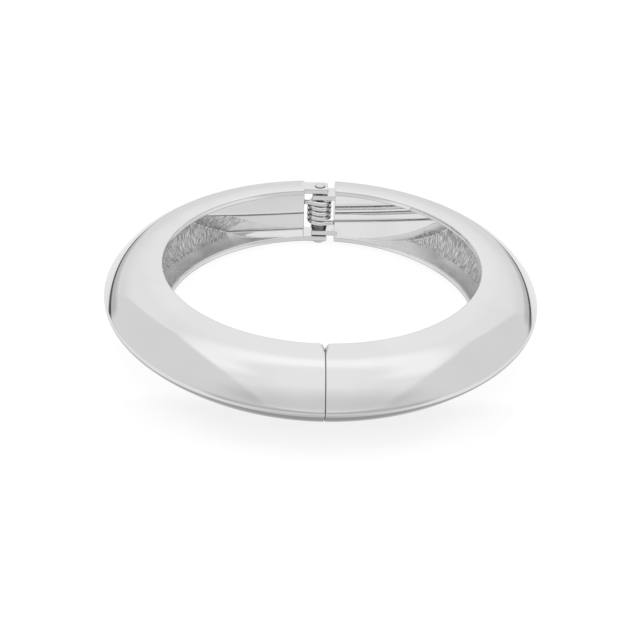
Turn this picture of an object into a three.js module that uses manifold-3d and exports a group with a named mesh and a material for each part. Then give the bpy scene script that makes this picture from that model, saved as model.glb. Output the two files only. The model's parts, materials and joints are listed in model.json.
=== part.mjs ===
// Hinged bangle bracelet: two hollow cast half shells that meet in a plain butt
// seam at the front and turn on a riveted pin at the back, where a torsion
// spring round the pin keeps the ring closed.
//
// Millimetres, +Z up along the axis of the ring, -Y through the front seam and
// +Y through the hinge. The origin is under the middle of the ring, level with
// the lowest point, which is the peened head of the pin.

import * as THREE from 'three';
import Module from 'manifold-3d';
import { mergeVertices } from 'three/addons/utils/BufferGeometryUtils.js';

// ---- Ring -------------------------------------------------------------------
const OUTER_RADIUS = 40.5;        // to the sharp nose of the section, in plan
const INNER_HALF_X = 30.0;        // half the width of the wrist opening
const INNER_HALF_Y = 28.5;        // half its depth, hinge to seam
const RING_HEIGHT = 12.2;         // rim to rim
const RIM_FLAT = 1.2;             // width of the flat on each rim
const BULGE = 2.5;                // power of the curve from rim to nose
const NOSE_HALF_HEIGHT = 0.4;     // the nose is a blunt edge
const NOSE_ROUND = 0.3;           // how far its rounding stands out
const LIP = 1.2;                  // thickness of both rims
const NOSE_WALL = 2.2;            // metal between the trough and the nose
const CURVE_STEPS = 7;            // points from rim to nose
const RING_STEPS = 72;

// ---- Ends of the half shells ------------------------------------------------
const SEAM_GAP = 0.3;             // both ends together, at the front
const SEAM_RELIEF = 1.5;          // side of the square V notch in the rims there
const END_WALL = 1.6;             // closes the trough at the front seam
const HINGE_HALF_GAP = 3.3;       // hinge axis to each end face, at the back
const BLOCK_TILT = 3.0;           // degrees, end block's face against the X axis
const BLOCK_REACH = 30.0;         // past the tip where the face meets the trough

// ---- Hinge ------------------------------------------------------------------
const PIN_Y = 30.7;
const PIN_RADIUS = 0.95;
const PIN_HOLE_RADIUS = 1.25;
const PIN_HEAD_RADIUS = 1.5;
const PIN_HEAD_HEIGHT = 0.62;
const PIN_PEEN_RADIUS = 1.08;
const PIN_PEEN_HEIGHT = 0.5;
const RIM_BOTTOM = 0.9;           // the pin's head stands out below the rims
const RIM_TOP = RIM_BOTTOM + RING_HEIGHT;
const MID_HEIGHT = RIM_BOTTOM + RING_HEIGHT / 2;
const EAR_THICKNESS = 1.15;
const EAR_TIP = 1.75;             // ear's end past the hinge axis
const KNUCKLE_THICKNESS = 1.1;
const KNUCKLE_TIP = 1.6;
const LEAF_GAP = 0.3;             // ear to knuckle
const LEAF_FRONT = 2.25;          // front edge of ears and knuckles to the axis
const LEAF_BACK = 2.35;           // back edge to the axis
const LEAF_CORNER = 0.7;
const LEAF_ROOT = 1.0;            // how far a leaf runs into its end block

// ---- Torsion spring ---------------------------------------------------------
const WIRE_RADIUS = 0.5;
const COIL_RADIUS = 2.1;          // to the middle of the wire
const COIL_TOP = RIM_BOTTOM + 9.0;
const COIL_PITCH = 1.16;
const COIL_TURNS = 4;
const LEG_ANGLE = 20;             // degrees each side of the front, where a leg leaves
const LEG_LENGTH = 4.9;
const LEG_HOLE_RADIUS = 0.82;
const LEG_HOLE_LENGTH = 5.4;

const wasm = await Module();
wasm.setup();

const RAD = Math.PI / 180;

// ---- Solids -----------------------------------------------------------------

function toSolid(geometry) {
  const bare = geometry.index ? geometry.toNonIndexed() : geometry.clone();
  bare.deleteAttribute('normal');
  bare.deleteAttribute('uv');
  const merged = mergeVertices(bare, 1e-4);
  return new wasm.Manifold(new wasm.Mesh({
    numProp: 3,
    vertProperties: new Float32Array(merged.attributes.position.array),
    triVerts: new Uint32Array(merged.index.array),
  }));
}

function toGeometry(solid) {
  const mesh = solid.getMesh();
  const geometry = new THREE.BufferGeometry();
  geometry.setAttribute('position', new THREE.BufferAttribute(mesh.vertProperties, 3));
  geometry.setIndex(new THREE.BufferAttribute(mesh.triVerts, 1));
  geometry.computeVertexNormals();
  return geometry;
}

function boxBetween(low, high) {
  const size = high.map((value, axis) => value - low[axis]);
  const middle = high.map((value, axis) => (value + low[axis]) / 2);
  return toSolid(new THREE.BoxGeometry(...size).translate(...middle));
}

function plate(shape, bottom, thickness) {
  const geometry = new THREE.ExtrudeGeometry(shape, {
    depth: thickness,
    bevelEnabled: false,
    curveSegments: 10,
  });
  return toSolid(geometry.translate(0, 0, bottom));
}

// ---- Section of the ring ----------------------------------------------------

// Height of a face above mid height, from the rim (share 0) to the nose (share 1).
function faceHeight(share, rimHeight, noseHeight) {
  return noseHeight + (rimHeight - noseHeight) * (1 - share ** BULGE);
}

// Points of one face between two radii, from the rim outwards. The steps close
// up towards the nose, where the curve turns fastest.
function facePoints(innerRadius, outerRadius, rimHeight, noseHeight) {
  const points = [];
  for (let step = 0; step <= CURVE_STEPS; step += 1) {
    const share = Math.sin((step / CURVE_STEPS) * Math.PI / 2);
    points.push(new THREE.Vector2(
      innerRadius + (outerRadius - innerRadius) * share,
      faceHeight(share, rimHeight, noseHeight),
    ));
  }
  return points;
}

function mirrored(points) {
  return points.map((point) => new THREE.Vector2(point.x, -point.y));
}

const SECTION_DEPTH = OUTER_RADIUS - INNER_HALF_X;
const OUTER_FACE = [
  new THREE.Vector2(INNER_HALF_X, RING_HEIGHT / 2),
  ...facePoints(
    INNER_HALF_X + RIM_FLAT,
    OUTER_RADIUS - NOSE_ROUND,
    RING_HEIGHT / 2,
    NOSE_HALF_HEIGHT,
  ),
];
const TROUGH_FACE = facePoints(
  INNER_HALF_X,
  OUTER_RADIUS - NOSE_WALL,
  RING_HEIGHT / 2 - LIP,
  0,
);

// The outline of the outside, from the lower rim round the nose to the upper rim.
const OUTSIDE = [
  ...mirrored(OUTER_FACE),
  new THREE.Vector2(OUTER_RADIUS, 0),
  ...[...OUTER_FACE].reverse(),
];

// The outline of the trough, from its upper lip round to its lower lip.
const TROUGH = [
  ...TROUGH_FACE,
  ...mirrored(TROUGH_FACE).reverse().slice(1),
];

// Turns a section into a ring, and draws its round opening in to the oval one.
function ringOf(outline) {
  const closed = [...outline, outline[0].clone()];
  const geometry = new THREE.LatheGeometry(closed, RING_STEPS);
  geometry.rotateX(Math.PI / 2).translate(0, 0, MID_HEIGHT);
  const position = geometry.attributes.position;
  for (let index = 0; index < position.count; index += 1) {
    const x = position.getX(index);
    const y = position.getY(index);
    const radius = Math.hypot(x, y);
    const opening = radius / Math.hypot(x / INNER_HALF_X, y / INNER_HALF_Y);
    const share = (radius - INNER_HALF_X) / SECTION_DEPTH;
    const scale = (opening + share * (OUTER_RADIUS - opening)) / radius;
    position.setXY(index, x * scale, y * scale);
  }
  return toSolid(geometry);
}

// ---- Half shells ------------------------------------------------------------

// The side is -1 for the left half and +1 for the right half.
function boxOnSide(side, near, far, lowY, highY) {
  const [lowX, highX] = [side * near, side * far].sort((a, b) => a - b);
  return boxBetween([lowX, lowY, -5], [highX, highY, 20]);
}

// Solid block that fills the trough next to the hinge. Its face runs along the
// ring and folds at mid height: setbacks are how far the face lies back from
// that fold at the upper rim and at the lower lip.
function endBlock(solidRing, side, upperSetback, lowerSetback) {
  const face = INNER_HALF_Y - 0.2;
  const back = OUTER_RADIUS + 5;
  const profile = new THREE.Shape([
    new THREE.Vector2(face, MID_HEIGHT),
    new THREE.Vector2(face + lowerSetback, RIM_BOTTOM + LIP),
    new THREE.Vector2(face + lowerSetback, RIM_BOTTOM - 1),
    new THREE.Vector2(back, RIM_BOTTOM - 1),
    new THREE.Vector2(back, RIM_TOP + 1),
    new THREE.Vector2(face + upperSetback, RIM_TOP + 1),
  ]);
  const geometry = new THREE.ExtrudeGeometry(profile, { depth: BLOCK_REACH, bevelEnabled: false });
  geometry.rotateX(Math.PI / 2).rotateZ(Math.PI / 2);
  geometry.translate(side > 0 ? 0 : -BLOCK_REACH, 0, 0);
  geometry.translate(0, -face, 0).rotateZ(-side * BLOCK_TILT * RAD).translate(0, face, 0);
  return solidRing.intersect(toSolid(geometry));
}

// Flat leaf that reaches from an end block across the hinge axis, bored for the
// pin: the left half's ears and the right half's knuckles.
function leaf(side, tip, bottom, thickness) {
  const root = side * (HINGE_HALF_GAP + LEAF_ROOT);
  const end = -side * tip;
  const cut = -side * LEAF_CORNER;
  const shape = new THREE.Shape([
    new THREE.Vector2(root, PIN_Y - LEAF_FRONT),
    new THREE.Vector2(end, PIN_Y - LEAF_FRONT),
    new THREE.Vector2(end, PIN_Y + LEAF_BACK - LEAF_CORNER),
    new THREE.Vector2(end - cut, PIN_Y + LEAF_BACK),
    new THREE.Vector2(root, PIN_Y + LEAF_BACK),
  ]);
  // A hole runs round the opposite way to its outline.
  const clockwise = side < 0;
  shape.holes.push(new THREE.Path().absarc(0, PIN_Y, PIN_HOLE_RADIUS, 0, 2 * Math.PI, clockwise));
  return plate(shape, bottom, thickness);
}

// Point and direction in which a spring leg leaves the coil, top leg for the
// left half and bottom leg for the right half.
function legStart(side) {
  const angle = (-90 + side * LEG_ANGLE) * RAD;
  const z = side < 0 ? COIL_TOP : COIL_TOP - COIL_PITCH * (COIL_TURNS + 2 * LEG_ANGLE / 360);
  return {
    point: new THREE.Vector3(COIL_RADIUS * Math.cos(angle), PIN_Y + COIL_RADIUS * Math.sin(angle), z),
    direction: new THREE.Vector3(-side * Math.sin(angle), side * Math.cos(angle), 0),
  };
}

// The blind hole in an end face that holds a leg of the spring.
function legHole(side) {
  const { point, direction } = legStart(side);
  const geometry = new THREE.CylinderGeometry(LEG_HOLE_RADIUS, LEG_HOLE_RADIUS, LEG_HOLE_LENGTH, 16);
  geometry.translate(0, LEG_HOLE_LENGTH / 2, 0);
  const turn = new THREE.Quaternion().setFromUnitVectors(new THREE.Vector3(0, 1, 0), direction);
  geometry.applyQuaternion(turn).translate(...point.toArray());
  return toSolid(geometry);
}

function seamRelief() {
  const geometry = new THREE.BoxGeometry(SEAM_RELIEF, SEAM_RELIEF, 30);
  geometry.rotateZ(Math.PI / 4).translate(0, -INNER_HALF_Y, MID_HEIGHT);
  return toSolid(geometry);
}

function halfShell(side, blockSetbacks, leaves) {
  const openRing = ringOf([...OUTSIDE, ...TROUGH]);
  const solidRing = ringOf(OUTSIDE);
  const reach = OUTER_RADIUS + 5;
  const frontHalf = boxOnSide(side, SEAM_GAP / 2, reach, -reach, 0.5);
  const backHalf = boxOnSide(side, HINGE_HALF_GAP, reach, 0, reach);
  const frontWall = boxOnSide(side, SEAM_GAP / 2, SEAM_GAP / 2 + END_WALL, -reach, 0);
  let shell = openRing.intersect(frontHalf.add(backHalf));
  shell = shell.add(solidRing.intersect(frontWall));
  shell = shell.add(endBlock(solidRing, side, ...blockSetbacks).intersect(backHalf));
  for (const one of leaves) {
    shell = shell.add(one);
  }
  return shell.subtract(seamRelief()).subtract(legHole(side));
}

function leftShell() {
  const ears = [RIM_TOP - EAR_THICKNESS, RIM_BOTTOM].map(
    (bottom) => leaf(-1, EAR_TIP, bottom, EAR_THICKNESS),
  );
  return halfShell(-1, [1.0, 2.4], ears);
}

function rightShell() {
  const inset = EAR_THICKNESS + LEAF_GAP;
  const bottoms = [RIM_TOP - inset - KNUCKLE_THICKNESS, RIM_BOTTOM + inset];
  const knuckles = bottoms.map((bottom) => leaf(1, KNUCKLE_TIP, bottom, KNUCKLE_THICKNESS));
  return halfShell(1, [0.3, 0.3], knuckles);
}

// ---- Pin and spring ---------------------------------------------------------

// Rivet: a domed head below, a plain shaft and a small peened end above.
function hingePin() {
  const top = RIM_TOP + PIN_PEEN_HEIGHT;
  const profile = [new THREE.Vector2(0, 0)];
  for (const turn of [30, 60, 90]) {
    profile.push(new THREE.Vector2(
      PIN_HEAD_RADIUS * Math.sin(turn * RAD),
      (PIN_HEAD_HEIGHT - 0.15) * (1 - Math.cos(turn * RAD)),
    ));
  }
  profile.push(new THREE.Vector2(PIN_HEAD_RADIUS, PIN_HEAD_HEIGHT));
  profile.push(new THREE.Vector2(PIN_RADIUS, PIN_HEAD_HEIGHT));
  profile.push(new THREE.Vector2(PIN_RADIUS, RIM_TOP - 0.1));
  profile.push(new THREE.Vector2(PIN_PEEN_RADIUS, RIM_TOP));
  for (const turn of [60, 30]) {
    profile.push(new THREE.Vector2(
      PIN_PEEN_RADIUS * Math.sin(turn * RAD),
      RIM_TOP + PIN_PEEN_HEIGHT * Math.cos(turn * RAD),
    ));
  }
  profile.push(new THREE.Vector2(0, top));
  const geometry = new THREE.LatheGeometry(profile, 20);
  geometry.rotateX(Math.PI / 2).translate(0, PIN_Y, 0);
  return toSolid(geometry);
}

// The wire's middle line: top leg, coil running down, bottom leg.
class SpringLine extends THREE.Curve {
  getPoint(share, target = new THREE.Vector3()) {
    const sweep = (360 * COIL_TURNS + 2 * LEG_ANGLE) * RAD;
    const coilLength = sweep * COIL_RADIUS;
    const along = share * (coilLength + 2 * LEG_LENGTH) - LEG_LENGTH;
    if (along < 0) {
      const { point, direction } = legStart(-1);
      return target.copy(point).addScaledVector(direction, -along);
    }
    if (along > coilLength) {
      const { point, direction } = legStart(1);
      return target.copy(point).addScaledVector(direction, along - coilLength);
    }
    const turned = along / COIL_RADIUS;
    const angle = (-90 - LEG_ANGLE) * RAD + turned;
    return target.set(
      COIL_RADIUS * Math.cos(angle),
      PIN_Y + COIL_RADIUS * Math.sin(angle),
      COIL_TOP - COIL_PITCH * turned / (2 * Math.PI),
    );
  }
}

function torsionSpring() {
  const section = new THREE.Shape();
  section.absarc(0, 0, WIRE_RADIUS, 0, 2 * Math.PI, false);
  const geometry = new THREE.ExtrudeGeometry(section, {
    extrudePath: new SpringLine(),
    steps: 96,
    curveSegments: 4,
    bevelEnabled: false,
  });
  return toSolid(geometry);
}

// ---- Finishes and the assembly ----------------------------------------------

function finish(color, roughness) {
  return new THREE.MeshStandardMaterial({ color, roughness, metalness: 1.0 });
}

function part(name, solid, material) {
  const mesh = new THREE.Mesh(toGeometry(solid), material);
  mesh.name = name;
  return mesh;
}

const bangle = new THREE.Group();
bangle.add(part('left_shell', leftShell(), finish(0xe6e7e9, 0.12)));
bangle.add(part('right_shell', rightShell(), finish(0xe6e7e9, 0.12)));
bangle.add(part('hinge_pin', hingePin(), finish(0xd9dbde, 0.2)));
bangle.add(part('torsion_spring', torsionSpring(), finish(0xd2d4d8, 0.22)));

export default bangle;
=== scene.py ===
"""Hinged bangle bracelet: two polished half shells, a riveted pin and its torsion spring.

Lengths are in metres, +Z runs up the axis of the ring, the hinge is at +Y and
the butt seam at -Y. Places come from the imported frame, and each class holds
the sizes that only the visible surface needs.
"""

import json
import logging
import math
from abc import ABC, abstractmethod
from dataclasses import dataclass, field
from enum import Enum, IntEnum
from typing import Any, Sequence

import bmesh
import bpy
import numpy as np
from mathutils import Matrix, Quaternion, Vector


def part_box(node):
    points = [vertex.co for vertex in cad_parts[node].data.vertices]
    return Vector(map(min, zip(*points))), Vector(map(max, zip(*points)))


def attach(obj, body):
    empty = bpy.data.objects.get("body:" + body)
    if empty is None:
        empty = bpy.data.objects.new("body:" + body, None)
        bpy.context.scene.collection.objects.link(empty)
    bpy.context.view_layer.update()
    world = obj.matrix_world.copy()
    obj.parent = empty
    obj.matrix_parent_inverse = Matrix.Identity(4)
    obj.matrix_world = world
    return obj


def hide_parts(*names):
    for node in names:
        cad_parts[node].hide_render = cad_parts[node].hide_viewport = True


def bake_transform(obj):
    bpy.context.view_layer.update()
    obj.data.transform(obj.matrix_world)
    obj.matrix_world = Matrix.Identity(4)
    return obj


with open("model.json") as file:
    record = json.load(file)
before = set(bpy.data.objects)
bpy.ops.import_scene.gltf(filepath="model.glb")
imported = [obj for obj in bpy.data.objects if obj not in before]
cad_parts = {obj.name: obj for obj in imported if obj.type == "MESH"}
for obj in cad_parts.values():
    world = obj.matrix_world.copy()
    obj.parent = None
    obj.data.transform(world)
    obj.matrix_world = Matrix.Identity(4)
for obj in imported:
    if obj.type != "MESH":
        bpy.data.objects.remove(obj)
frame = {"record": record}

LOG = logging.getLogger("bangle")
MM = 0.001
FAR = 1.0
GRAZING = 0.05
COOL = 1.004


class Side(Enum):
    """The two halves of the bangle, by the sign of their X."""

    LEFT = -1
    RIGHT = 1

    @property
    def body(self) -> str:
        """Name of the body that the half moves with."""
        return "left_half" if self is Side.LEFT else "right_half"

    @property
    def word(self) -> str:
        """The half's name in piece names."""
        return self.name.lower()


class Slot(Enum):
    """Material slots of the record."""

    SHELL = "shell_plating"
    PIN = "pin_plating"
    SPRING = "spring_wire"


class Coat(IntEnum):
    """Order of the finishes on a half shell."""

    SKIN = 0
    BARK = 1
    WALL = 2
    BLOCK = 3
    # Painted shade in the end blocks' grooves.
    TARNISH = 4


# ---- Shader sums as Python expressions -----------------------------------------


class Value:
    """One output socket of a node, which adds Math nodes as it is reckoned with."""

    def __init__(self, web: "NodeWeb", socket: bpy.types.NodeSocket) -> None:
        """Wraps an output socket of a node tree."""
        self.web = web
        self.socket = socket

    def math(self, operation: str, *others: "Value | float", first: bool = True) -> "Value":
        """Applies a math operation to this value and others; `first` puts this value first."""
        inputs = [self, *others] if first else [*others, self]
        return self.web.add("ShaderNodeMath", {"operation": operation}, dict(enumerate(inputs)))

    def __add__(self, other: "Value | float") -> "Value":
        """Sum."""
        return self.math("ADD", other)

    def __sub__(self, other: "Value | float") -> "Value":
        """Difference."""
        return self.math("SUBTRACT", other)

    def __rsub__(self, other: "Value | float") -> "Value":
        """Difference from a number."""
        return self.math("SUBTRACT", other, first=False)

    def __mul__(self, other: "Value | float") -> "Value":
        """Product."""
        return self.math("MULTIPLY", other)

    __radd__ = __add__
    __rmul__ = __mul__

    def most(self, other: "Value | float") -> "Value":
        """The greater of two values."""
        return self.math("MAXIMUM", other)

    def between(self, low: float, high: float) -> "Value":
        """Smooth step of this value, 0 at low and 1 at high.

        Args:
            low: Where the step starts.
            high: Where it ends. It may be less than low.

        Returns:
            A value from 0 to 1.
        """
        if low > high:
            return 1.0 - self.between(high, low)
        settings = {"interpolation_type": "SMOOTHSTEP"}
        ends = {"Value": self, "From Min": low, "From Max": high}
        return self.web.add("ShaderNodeMapRange", settings, ends)


class NodeWeb:
    """A node tree that is filled one node at a time."""

    def __init__(self, tree: bpy.types.NodeTree) -> None:
        """Empties the tree that is to be filled."""
        self.tree = tree
        tree.nodes.clear()

    def node(
        self,
        kind: str,
        settings: dict[str, Any] | None = None,
        inputs: dict[str | int, Any] | None = None,
    ) -> bpy.types.Node:
        """Adds a node.

        Args:
            kind: The node's type.
            settings: Its properties, set before its sockets.
            inputs: Values or links of its sockets, by name or number.

        Returns:
            The node.
        """
        node = self.tree.nodes.new(kind)
        for name, setting in (settings or {}).items():
            setattr(node, name, setting)
        for name, value in (inputs or {}).items():
            if isinstance(value, Value):
                self.tree.links.new(value.socket, node.inputs[name])
            else:
                node.inputs[name].default_value = value
        return node

    def add(
        self,
        kind: str,
        settings: dict[str, Any] | None = None,
        inputs: dict[str | int, Any] | None = None,
        output: str | int = 0,
    ) -> Value:
        """Adds a node, as node does, and wraps the output of a name or number."""
        return Value(self, self.node(kind, settings, inputs).outputs[output])

    def noise(self, vector: Value, scale: float, detail: float = 2.0, rough: float = 0.5) -> Value:
        """Noise from 0 to 1 with the given cycles per metre, octaves and roughness."""
        inputs = {"Vector": vector, "Scale": scale, "Detail": detail, "Roughness": rough}
        return self.add("ShaderNodeTexNoise", None, inputs)

    def stretched(self, vector: Value, scale: tuple[float, float, float]) -> Value:
        """Scales a vector by axis, for a texture that runs one way."""
        return self.add("ShaderNodeMapping", None, {"Vector": vector, "Scale": scale})

    def grey(self, value: Value, low: float, high: float) -> Value:
        """Turns a value into a very slightly cool grey.

        Args:
            value: From 0 to 1.
            low: Grey at 0.
            high: Grey at 1.

        Returns:
            The colour.
        """
        ends = [(level, level, level * COOL, 1.0) for level in (low, high)]
        inputs = {"Factor": value, 6: ends[0], 7: ends[1]}
        return self.add("ShaderNodeMix", {"data_type": "RGBA"}, inputs, 2)

    def parts(self, vector: Value) -> list[Value]:
        """Splits a vector into X, Y and Z."""
        split = self.node("ShaderNodeSeparateXYZ", None, {"Vector": vector})
        return [Value(self, output) for output in split.outputs]

    def finish_metal(
        self, colour: Value, rough: Value, height: Value, strength: float, depth: float
    ) -> None:
        """Ends a material's tree with a bare metal surface.

        Args:
            colour: Colour of the metal.
            rough: Its roughness.
            height: Height of its relief, from 0 to 1.
            strength: Strength of the relief.
            depth: Depth of the relief.
        """
        relief = {"Strength": strength, "Distance": depth, "Height": height}
        surface = {
            "Base Color": colour,
            "Metallic": 1.0,
            "Roughness": rough,
            "Normal": self.add("ShaderNodeBump", None, relief),
        }
        shader = self.add("ShaderNodeBsdfPrincipled", None, surface)
        self.node("ShaderNodeOutputMaterial", None, {"Surface": shader})


def new_material(name: str) -> tuple[bpy.types.Material, NodeWeb]:
    """Makes a material with an empty node tree.

    Args:
        name: Name of the material.

    Returns:
        The material and its node web.
    """
    material = bpy.data.materials.new(name)
    material.use_nodes = True
    return material, NodeWeb(material.node_tree)


# ---- Finishes ------------------------------------------------------------------


@dataclass(frozen=True)
class Plating:
    """Bright white plating on polished metal.

    Attributes:
        name: Name of the material.
        bright: Grey of the cleanest metal.
        dull: Grey where the polish is a little hazy.
        gloss: Roughness of the clean metal.
        haze: Roughness added where it is hazy.
        wipe_scale: Cycles per metre of the haze.
        hairline: Depth of the polishing hairlines.
    """

    name: str
    bright: float = 0.78
    dull: float = 0.75
    gloss: float = 0.035
    haze: float = 0.05
    wipe_scale: float = 90.0
    hairline: float = 0.000002

    def make(self) -> bpy.types.Material:
        """Builds the material.

        Returns:
            The material.
        """
        material, web = new_material(self.name)
        place = web.add("ShaderNodeTexCoord", None, None, "Object")
        wipe = web.noise(place, self.wipe_scale, 4.0, 0.55).between(0.35, 0.75)
        grain = web.noise(web.stretched(place, (1.0, 1.0, 6.0)), 2600.0, 3.0, 0.6)
        colour = web.grey(wipe, self.bright, self.dull)
        rough = wipe * self.haze + grain * 0.02 + self.gloss
        web.finish_metal(colour, rough, grain, 0.35, self.hairline)
        return material


@dataclass(frozen=True)
class BarkCasting:
    """Cast metal with a bark texture that runs across the trough.

    Attributes:
        name: Name of the material.
        ridge: Grey of the strokes that stand up.
        groove: Grey between them.
        strokes: Strokes per metre along the ring.
        stroke_length: How many times longer than wide a stroke is.
        slant: How far the strokes lean along the ring.
        relief: Depth of the fine strokes.
    """

    name: str
    ridge: float = 0.97
    groove: float = 0.5
    strokes: float = 5000.0
    stroke_length: float = 9.0
    slant: float = 0.5
    relief: float = 0.00009

    def make(self) -> bpy.types.Material:
        """Builds the material.

        Returns:
            The material.
        """
        material, web = new_material(self.name)
        run = web.add("ShaderNodeUVMap", {"uv_map": "run"})
        along, across, _ = web.parts(run)
        leaning = along + across * self.slant
        short = across * (1.0 / self.stroke_length)
        strokes = web.add("ShaderNodeCombineXYZ", None, {"X": leaning, "Y": short})
        coarse = web.noise(strokes, self.strokes, 1.0, 0.5)
        fine = web.noise(strokes, self.strokes * 2.1, 2.0, 0.6)
        height = coarse * 0.7 + fine * 0.3
        colour = web.grey(height.between(0.4, 0.6), self.groove, self.ridge)
        rough = 0.4 - height.between(0.42, 0.62) * 0.16
        web.finish_metal(colour, rough, height, 1.0, self.relief)
        return material


@dataclass(frozen=True)
class SatinCasting:
    """Plated casting that was never polished, with a fine sandy skin.

    Attributes:
        name: Name of the material.
        light: Grey of its lighter patches.
        dark: Grey of its darker ones.
        rough: Roughness of the smoothest skin.
        grain: Grains per metre.
        relief: Depth of the grain.
    """

    name: str
    light: float
    dark: float
    rough: float
    grain: float = 5200.0
    relief: float = 0.00001

    def make(self) -> bpy.types.Material:
        """Builds the material.

        Returns:
            The material.
        """
        material, web = new_material(self.name)
        place = web.add("ShaderNodeTexCoord", None, None, "Object")
        cloud = web.noise(place, 260.0, 3.0, 0.6).between(0.35, 0.65)
        grain = web.noise(place, self.grain, 3.0, 0.65)
        colour = web.grey(cloud * 0.7 + grain * 0.3, self.dark, self.light)
        rough = cloud * 0.08 + grain * 0.06 + self.rough
        web.finish_metal(colour, rough, grain, 0.6, self.relief)
        return material


@dataclass(frozen=True)
class Finishes:
    """The finishes that the bangle's pieces share.

    Attributes:
        shell: Outside of the two halves.
        bark: Textured inside of the trough.
        wall: End faces and the plain parts of the trough's wall.
        block: Facets of the left end block.
        mirror: Facets of the right end block.
        tarnish: Painted shade: dark grey in the end blocks' grooves, standing in for the dark
            reflections there.
        seat: Collar round the pin, a rough mottled casting whose dark grey is partly painted shade
            from under the coil.
        pin: Hinge pin.
        wire: Spring.
    """

    shell: bpy.types.Material
    bark: bpy.types.Material
    wall: bpy.types.Material
    block: bpy.types.Material
    mirror: bpy.types.Material
    tarnish: bpy.types.Material
    seat: bpy.types.Material
    pin: bpy.types.Material
    wire: bpy.types.Material

    @classmethod
    def make(cls) -> "Finishes":
        """Builds every finish once.

        Returns:
            The set of finishes.
        """
        return cls(
            shell=Plating("polished_plating").make(),
            bark=BarkCasting("bark_casting").make(),
            wall=SatinCasting("satin_wall", light=0.9, dark=0.76, rough=0.26).make(),
            block=SatinCasting("satin_block", light=0.95, dark=0.89, rough=0.1).make(),
            mirror=Plating("mirror_block", bright=0.98, dull=0.93).make(),
            # Painted shade: near-black grey in the end blocks' grooves, standing in for their dark
            # reflections.
            tarnish=SatinCasting("tarnished_groove", light=0.3, dark=0.17, rough=0.2).make(),
            # Rough mottled collar: the mottle is the casting's own, and its near-black dark grey
            # is painted shade from under the coil.
            seat=SatinCasting(
                "rough_seat", light=0.85, dark=0.1, rough=0.24, grain=2300.0, relief=0.00009
            ).make(),
            pin=Plating("pin_plating", bright=0.74, dull=0.66, gloss=0.09, haze=0.1).make(),
            wire=Plating(
                "drawn_wire", bright=0.84, dull=0.72, gloss=0.05, haze=0.07, hairline=0.000005
            ).make(),
        )


# ---- Form of the ring ----------------------------------------------------------


def smooth_step(value: np.ndarray, low: float, high: float) -> np.ndarray:
    """Smooth step of an array, 0 at low and 1 at high."""
    share = np.clip((value - low) / (high - low), 0.0, 1.0)
    return share * share * (3.0 - 2.0 * share)


def arc(
    centre: tuple[float, float], radius: float, start: float, end: float, steps: int
) -> np.ndarray:
    """Points along a circular arc.

    Args:
        centre: Its centre.
        radius: Its radius.
        start: First angle, in degrees.
        end: Last angle, in degrees.
        steps: Pieces that it is cut into.

    Returns:
        An array of steps + 1 points.
    """
    angles = np.radians(np.linspace(start, end, steps + 1))
    return np.stack([centre[0] + radius * np.cos(angles), centre[1] + radius * np.sin(angles)], 1)


def resampled(line: np.ndarray, count: int, knots: Sequence[tuple[int, float]] = ()) -> np.ndarray:
    """Points spaced evenly along a falling line, or evenly from each knot to the next.

    Args:
        line: The points of the line.
        count: How many points to return, ends included.
        knots: Numbers of points that keep a height, and their heights, from high to low.

    Returns:
        The new points.
    """
    lengths = np.concatenate([[0.0], np.cumsum(np.linalg.norm(np.diff(line, axis=0), axis=1))])
    numbers = [0, *(number for number, _ in knots), count - 1]
    held = [np.interp(-height, -line[:, 1], lengths) for _, height in knots]
    places = np.interp(np.arange(count), numbers, [0.0, *held, lengths[-1]])
    return np.stack([np.interp(places, lengths, line[:, axis]) for axis in (0, 1)], 1)


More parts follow.
